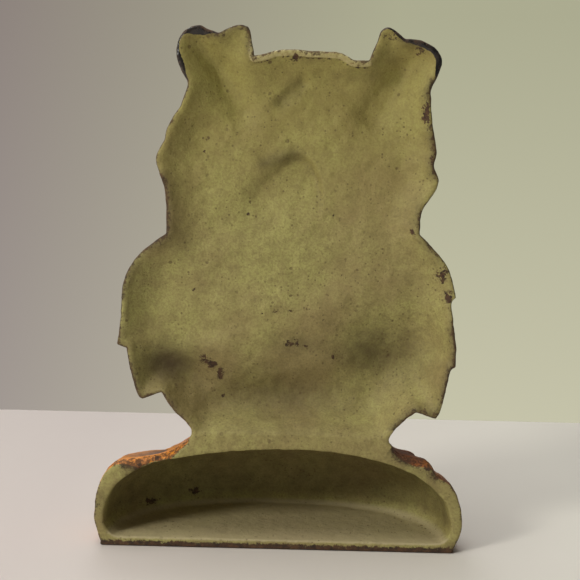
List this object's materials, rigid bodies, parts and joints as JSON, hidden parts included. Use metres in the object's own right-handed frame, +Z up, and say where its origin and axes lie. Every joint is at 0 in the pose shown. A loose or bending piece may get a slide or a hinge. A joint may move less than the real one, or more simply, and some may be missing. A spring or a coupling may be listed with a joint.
{
  "type": "owl figurine",
  "caption": "Hollow-backed cast-iron owl standing on a hollow half-round mound, painted, used as a doorstop or bookend.",
  "frame": {"origin": "centre of the bounding box's bottom face, on the surface that the mound stands on", "axes": "+Z up, -Y the owl's front, +Y its hollow back, +X the owl's own left"},
  "size_m": [0.1687, 0.058, 0.235],
  "materials": {
    "mound_enamel": "orange and brown enamel over cast iron, cream paint in the hollow, worn and rusty at the rim",
    "breast_enamel": "cream and tan enamel with brown feather marks, cream paint in the hollow back",
    "head_enamel": "brown and cream enamel, cream paint in the hollow back",
    "wing_enamel": "dark brown enamel with olive and cream feather edges, worn at the tips",
    "tuft_enamel": "gloss black enamel, chipped and rusty at the tips",
    "face_enamel": "cream enamel with brown radiating feather marks",
    "eye_enamel": "gloss yellow enamel with a black pupil",
    "beak_enamel": "gloss dark horn enamel",
    "brow_enamel": "dark brown enamel",
    "foot_enamel": "ochre enamel with dark claws"
  },
  "bodies": {
    "root": {"base_mound": "mound_enamel", "body_shell": "breast_enamel", "head_shell": "head_enamel", "left_wing": "wing_enamel", "right_wing": "wing_enamel", "left_ear_tuft": "tuft_enamel", "right_ear_tuft": "tuft_enamel", "left_facial_disc": "face_enamel", "right_facial_disc": "face_enamel", "left_eye": "eye_enamel", "right_eye": "eye_enamel", "beak": "beak_enamel", "left_brow": "brow_enamel", "right_brow": "brow_enamel", "left_inner_toe": "foot_enamel", "left_middle_toe": "foot_enamel", "left_outer_toe": "foot_enamel", "right_inner_toe": "foot_enamel", "right_middle_toe": "foot_enamel", "right_outer_toe": "foot_enamel"}
  },
  "joints": []
}
